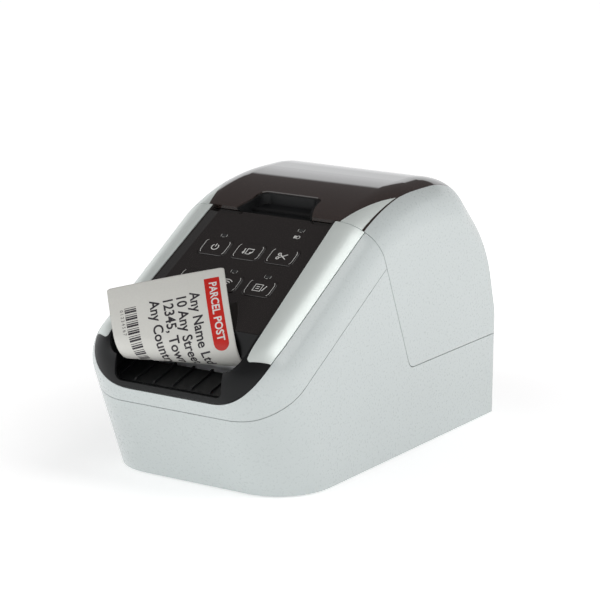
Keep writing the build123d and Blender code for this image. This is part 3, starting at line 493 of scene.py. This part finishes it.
def icon_scissors():
    return [
        ([(-1.2, -0.9), (2.2, 1.5)], False), ([(-1.2, 0.9), (2.2, -1.5)], False),
        (arc((-1.8, -1.2), 0.7, 0, 340, 14), True), (arc((-1.8, 1.2), 0.7, 0, 340, 14), True),
    ]


def icon_wireless():
    waves = [(arc((0, -1.7), radius, 42, 138, 12), False) for radius in (1.5, 2.7, 3.9)]
    return waves + [(arc((0, -1.5), 0.3, 0, 330, 10), True)]


def icon_label():
    box = [(-2.4, 1.3), (2.4, 1.3), (2.4, -1.3), (-2.4, -1.3)]
    return [(box, True), ([(-1.4, 0.4), (1.4, 0.4)], False), ([(-1.4, -0.4), (0.6, -0.4)], False)]


def icon_list():
    """A page with lines and a pencil stroke, in place of the worded key."""
    page = [(-2.8, 2.0), (1.0, 2.0), (1.0, -2.0), (-2.8, -2.0)]
    lines = [([(-1.7, y), (-0.1, y)], False) for y in (0.6, -0.6)]
    return [(page, True), *lines, ([(1.9, -1.6), (3.0, 1.6)], False)]


ICONS = {
    "power": icon_power, "feed": icon_feed, "cut": icon_scissors,
    "label": icon_label, "wireless": icon_wireless, "editor": icon_list,
}
BUTTON_HALF = (7.6, 5.4)
BUTTON_CORNER_R = 2.6
ICON_SCALE, ICON_STROKE = 1.2, 0.6
KEY_OUTLINE_STROKE, KEY_INK_LIFT = 0.34, 0.03


def enlarged(paths, scale):
    return [([(x * scale, y * scale) for x, y in path], closed) for path, closed in paths]


def bracket_lines():
    """Pale curved line down each short side of a button."""
    x, y = BUTTON_HALF
    r = BUTTON_CORNER_R
    right = arc((x - r, y - r), r, 50, 0, 8) + arc((x - r, r - y), r, 0, -50, 8)
    left = [(-px, py) for px, py in right]
    return [(right, False), (left, False)]


def mark_buttons():
    """Icon and side lines of each button, which ride on its cap."""
    depth = BUTTON_TOP - KEY_INK_LIFT
    for name, place in BUTTONS.items():
        points, faces = ribbon(enlarged(ICONS[name](), ICON_SCALE), ICON_STROKE, place, depth)
        icon = mesh_of(f"icon_{name}", points, faces, PRINT_WHITE)
        points, faces = ribbon(bracket_lines(), KEY_OUTLINE_STROKE, place, depth)
        edge = mesh_of(f"key_outline_{name}", points, faces, MARK_WHITE)
        for piece in (icon, edge):
            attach(piece, f"button_{name}_cap")


PANEL_INK_LIFT = 0.08
LENS_MARK_R, LENS_MARK_STROKE = 1.9, 0.22
SIGN_PLACE = (21.5, 11.8)


def lens_mark():
    """Short curve at each side of an indicator window, with a bar below it."""
    left = arc((0, 0), LENS_MARK_R, 215, 155, 6)
    right = arc((0, 0), LENS_MARK_R, 325, 385, 6)
    return [(left, False), (right, False), ([(-0.7, -1.3), (0.7, -1.3)], False)]


def mark_panel():
    """Marks at the indicator windows, and the block and ring at the right of the panel."""
    strokes = [(lens_mark(), LENS_MARK_STROKE, place) for place in LENSES]
    strokes.append(([([(-1.9, 0), (0.1, 0)], False)], 2.0, SIGN_PLACE))
    strokes.append(([(arc((0.7, 0), 1.1, 0, 340, 12), True)], 0.4, SIGN_PLACE))
    points, faces = [], []
    for paths, width, place in strokes:
        more_points, more_faces = ribbon(paths, width, place, PANEL_FACE - PANEL_INK_LIFT)
        shift = len(points)
        points += more_points
        faces += [tuple(i + shift for i in face) for face in more_faces]
    marks = mesh_of("panel_marks", points, faces, MARK_WHITE)
    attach(marks, "case")


# ---- Stage ----------------------------------------------------------------------------------------------
CAMERA_AZIMUTH, CAMERA_ELEVATION, CAMERA_ROLL = 32.92, 13.49, 0.44
CAMERA_DISTANCE = 1365.04
CAMERA_SHIFT = (-3.75, -20.13)       # millimetres across and up, before the roll
CAMERA_TARGET_Z = 60.0
CAMERA_LENS, CAMERA_SENSOR = 150.0, 36.0
CAMERA_SEES_TO = 20.0                # metres
LIGHTS_AIM = (0, 0, 0.06)
LIGHTS = [                           # name, place and size in metres, power in watts
    ("key", (-0.9, -1.1, 0.9), (0.9, 0.9), 4.5),
    ("overhead", (0.9, 0.1, 1.2), (0.7, 1.2), 6.5),
    ("right", (1.5, -0.5, 0.5), (0.9, 0.9), 1.0),
]
WALL_WHITE, CEILING_DARK = (0.98, 0.99, 1.0, 1), (0.14, 0.13, 0.13, 1)
WALL_TOP, CEILING_EDGE = 0.370, 0.400
FLOOR_REACH = 6.0                    # metres
# The floor glows evenly far off and less near the printer: the dimmer glow there is a painted soft shadow.
GLOW_FAR, GLOW_NEAR_PAINTED_SHADE = (0.75, 0.75, 0.75, 1), (0.42, 0.42, 0.42, 1)
GLOW_FULL = 0.85                     # inner end of the change from far to near
GLOW_SPREAD = (3.2, 2.6, 1)          # one over the reach of the dimmer floor, the painted shade round the printer, in metres


def place_camera():
    azimuth, elevation = math.radians(CAMERA_AZIMUTH), math.radians(CAMERA_ELEVATION)
    level = Vector((math.sin(azimuth), -math.cos(azimuth), 0))
    back = level * math.cos(elevation) + Vector((0, 0, math.sin(elevation)))
    right = Vector((math.cos(azimuth), math.sin(azimuth), 0))
    up = back.cross(right)
    roll = math.radians(CAMERA_ROLL)
    rolled_right = right * math.cos(roll) + up * math.sin(roll)
    rolled_up = up * math.cos(roll) - right * math.sin(roll)
    turn = Matrix((rolled_right, rolled_up, back)).transposed()
    offset = turn @ Vector((-CAMERA_SHIFT[0], -CAMERA_SHIFT[1], CAMERA_DISTANCE))
    data = bpy.data.cameras.new("camera")
    data.lens = CAMERA_LENS
    data.sensor_width = CAMERA_SENSOR
    data.clip_end = CAMERA_SEES_TO
    camera = bpy.data.objects.new("camera", data)
    bpy.context.scene.collection.objects.link(camera)
    camera.matrix_world = Matrix.Translation((Vector((0, 0, CAMERA_TARGET_Z)) + offset) * MM) @ turn.to_4x4()
    bpy.context.scene.camera = camera


def area_light(name, place, size, power):
    data = bpy.data.lights.new(name, "AREA")
    data.shape = "RECTANGLE"
    data.size, data.size_y = size
    data.energy = power
    light = bpy.data.objects.new(name, data)
    bpy.context.scene.collection.objects.link(light)
    light.location = place
    light.rotation_euler = (Vector(LIGHTS_AIM) - Vector(place)).to_track_quat("-Z", "Y").to_euler()


def light_sky(tree):
    """White studio walls that fall off to a dark ceiling, which the glossy lid mirrors."""
    place = node(tree, "ShaderNodeTexCoord")
    parts = node(tree, "ShaderNodeSeparateXYZ")
    tree.links.new(place.outputs["Generated"], parts.inputs["Vector"])
    wall = ramp(tree, parts.outputs["Z"], [(WALL_TOP, WALL_WHITE), (CEILING_EDGE, CEILING_DARK)])
    tree.links.new(wall.outputs["Color"], tree.nodes["Background"].inputs["Color"])
    tree.nodes["Background"].inputs["Strength"].default_value = 1.0


def floor_paper_with_painted_shade():
    """White paper that glows, so that it stays white to the edges; it glows less near the printer, which
    paints a soft shadow round it.
    """
    material, tree, shader = new_material("floor")
    tint(tree, shader, object_noise(tree, 3.0), (0.90, 0.90, 0.90), 0.01)
    shader.inputs["Roughness"].default_value = 0.9
    place = node(tree, "ShaderNodeTexCoord")
    spread = node(tree, "ShaderNodeMapping")
    spread.inputs["Scale"].default_value = GLOW_SPREAD
    # Falloff round the printer that dims the floor's glow near it, a painted soft shadow.
    near = node(tree, "ShaderNodeTexGradient", gradient_type="SPHERICAL")
    glow_and_painted_shade = ramp(tree, near.outputs["Fac"], [(0.0, GLOW_FAR), (GLOW_FULL, GLOW_NEAR_PAINTED_SHADE)])
    tree.links.new(place.outputs["Object"], spread.inputs["Vector"])
    tree.links.new(spread.outputs["Vector"], near.inputs["Vector"])
    tree.links.new(glow_and_painted_shade.outputs["Color"], shader.inputs["Emission Color"])
    shader.inputs["Emission Strength"].default_value = 1.0
    material.cycles.emission_sampling = "NONE"
    return material


def make_stage():
    low, high = -FLOOR_REACH, FLOOR_REACH
    floor_mesh = bpy.data.meshes.new("floor")
    corners = [(low, low, 0), (high, low, 0), (high, high, 0), (low, high, 0)]
    floor_mesh.from_pydata(corners, [], [(0, 1, 2, 3)])
    floor = link("floor", floor_mesh, floor_paper_with_painted_shade())
    world = bpy.data.worlds.new("world")
    bpy.context.scene.world = world
    world.use_nodes = True
    light_sky(world.node_tree)
    for name, place, size, power in LIGHTS:
        area_light(name, place, size, power)
    bpy.context.scene.view_settings.view_transform = "Standard"


def coil_springs():
    """The two head springs, copied from the CAD piece and fixed to the case."""
    mesh = frame["nodes"]["head_springs"].data.copy()
    mesh.materials.clear()
    coils = link("coil_springs", mesh, SLOTS["steel"])
    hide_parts("head_springs")
    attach(coils, "case")
    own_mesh(coils)


def cover_label():
    sheet = label_sheet()
    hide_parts("printed_label")
    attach(sheet, "case")
    for piece in print_on_label():
        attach(piece, "case")


place_camera()
make_stage()
dress_cad()
cover_label()
coil_springs()
mark_buttons()
mark_panel()
